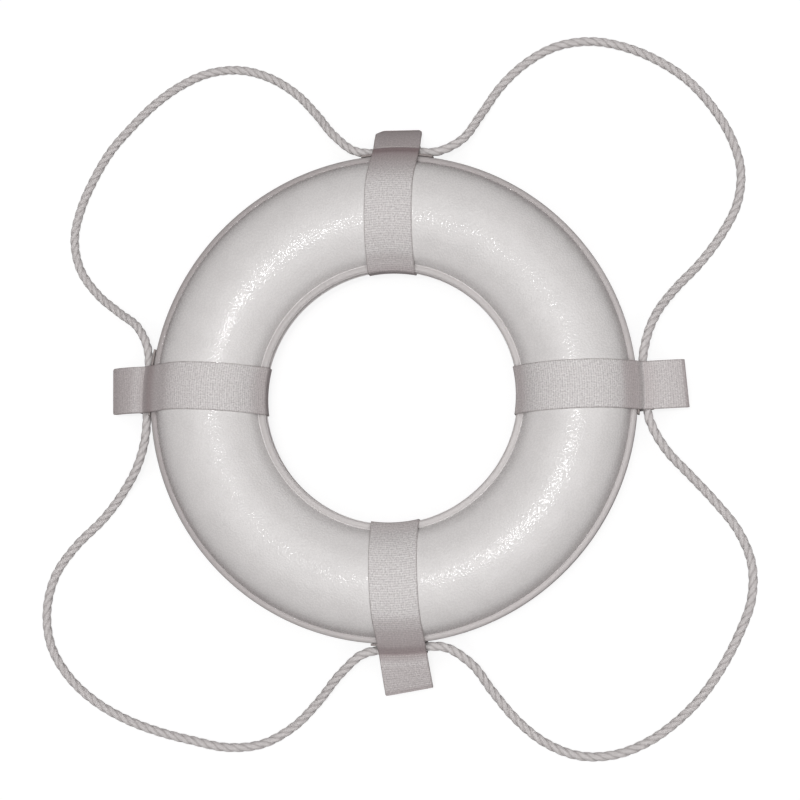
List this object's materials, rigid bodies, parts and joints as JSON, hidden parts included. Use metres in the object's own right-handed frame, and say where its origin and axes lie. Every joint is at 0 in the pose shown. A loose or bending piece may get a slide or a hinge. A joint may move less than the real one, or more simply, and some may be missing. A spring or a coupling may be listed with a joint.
{
  "type": "life ring",
  "caption": "Ring-shaped lifebuoy with a moulded vinyl shell over foam, webbing straps round its section and a grab rope that hangs in loose loops between them.",
  "frame": {"origin": "centre of the ring on its seam plane, halfway between its two flat sides", "axes": "+Z along the ring's axis, out of the upper side; +X towards the east strap and +Y towards the north strap, each within 3 degrees"},
  "size_m": [0.7524, 0.7574, 0.0822],
  "materials": {
    "vinyl": "moulded vinyl, fine leather-like grain, satin",
    "foam": "closed-cell foam, hidden inside the shells",
    "webbing": "ribbed woven webbing",
    "pad_webbing": "woven webbing",
    "rope": "three-strand laid rope",
    "thread": "twisted thread"
  },
  "bodies": {
    "ring": {"foam_core": "foam", "upper_skin": "vinyl", "lower_skin": "vinyl", "strap_east": "webbing", "strap_stitching_east": "thread", "rope_pad_east": "pad_webbing", "rope_at_east_strap": "rope", "strap_north": "webbing", "strap_stitching_north": "thread", "rope_pad_north": "pad_webbing", "rope_at_north_strap": "rope", "strap_west": "webbing", "strap_stitching_west": "thread", "rope_pad_west": "pad_webbing", "rope_at_west_strap": "rope", "strap_south": "webbing", "strap_stitching_south": "thread", "rope_pad_south": "pad_webbing", "rope_at_south_strap": "rope"},
    "loop_northeast": {"grab_loop_northeast": "rope"},
    "loop_southeast": {"grab_loop_southeast": "rope"},
    "loop_southwest": {"grab_loop_southwest": "rope"},
    "loop_northwest": {"grab_loop_northwest": "rope"}
  },
  "joints": [
    {"name": "swing_northeast", "type": "hinge", "parent": "ring", "child": "loop_northeast", "pos_m": [0.17512, 0.17939, -0.01106], "axis": [0.7142, -0.6999, 0.0064], "range_deg": [-76, 100]},
    {"name": "swing_southeast", "type": "hinge", "parent": "ring", "child": "loop_southeast", "pos_m": [0.1839, -0.16942, -0.01191], "axis": [-0.6828, -0.7306, 0.0045], "range_deg": [-76, 100]},
    {"name": "swing_southwest", "type": "hinge", "parent": "ring", "child": "loop_southwest", "pos_m": [-0.16404, -0.17532, -0.01058], "axis": [-0.6911, 0.7227, 0.0064], "range_deg": [-76, 100]},
    {"name": "swing_northwest", "type": "hinge", "parent": "ring", "child": "loop_northwest", "pos_m": [-0.17008, 0.18481, -0.01141], "axis": [0.7265, 0.6871, 0.0026], "range_deg": [-76, 100]}
  ]
}
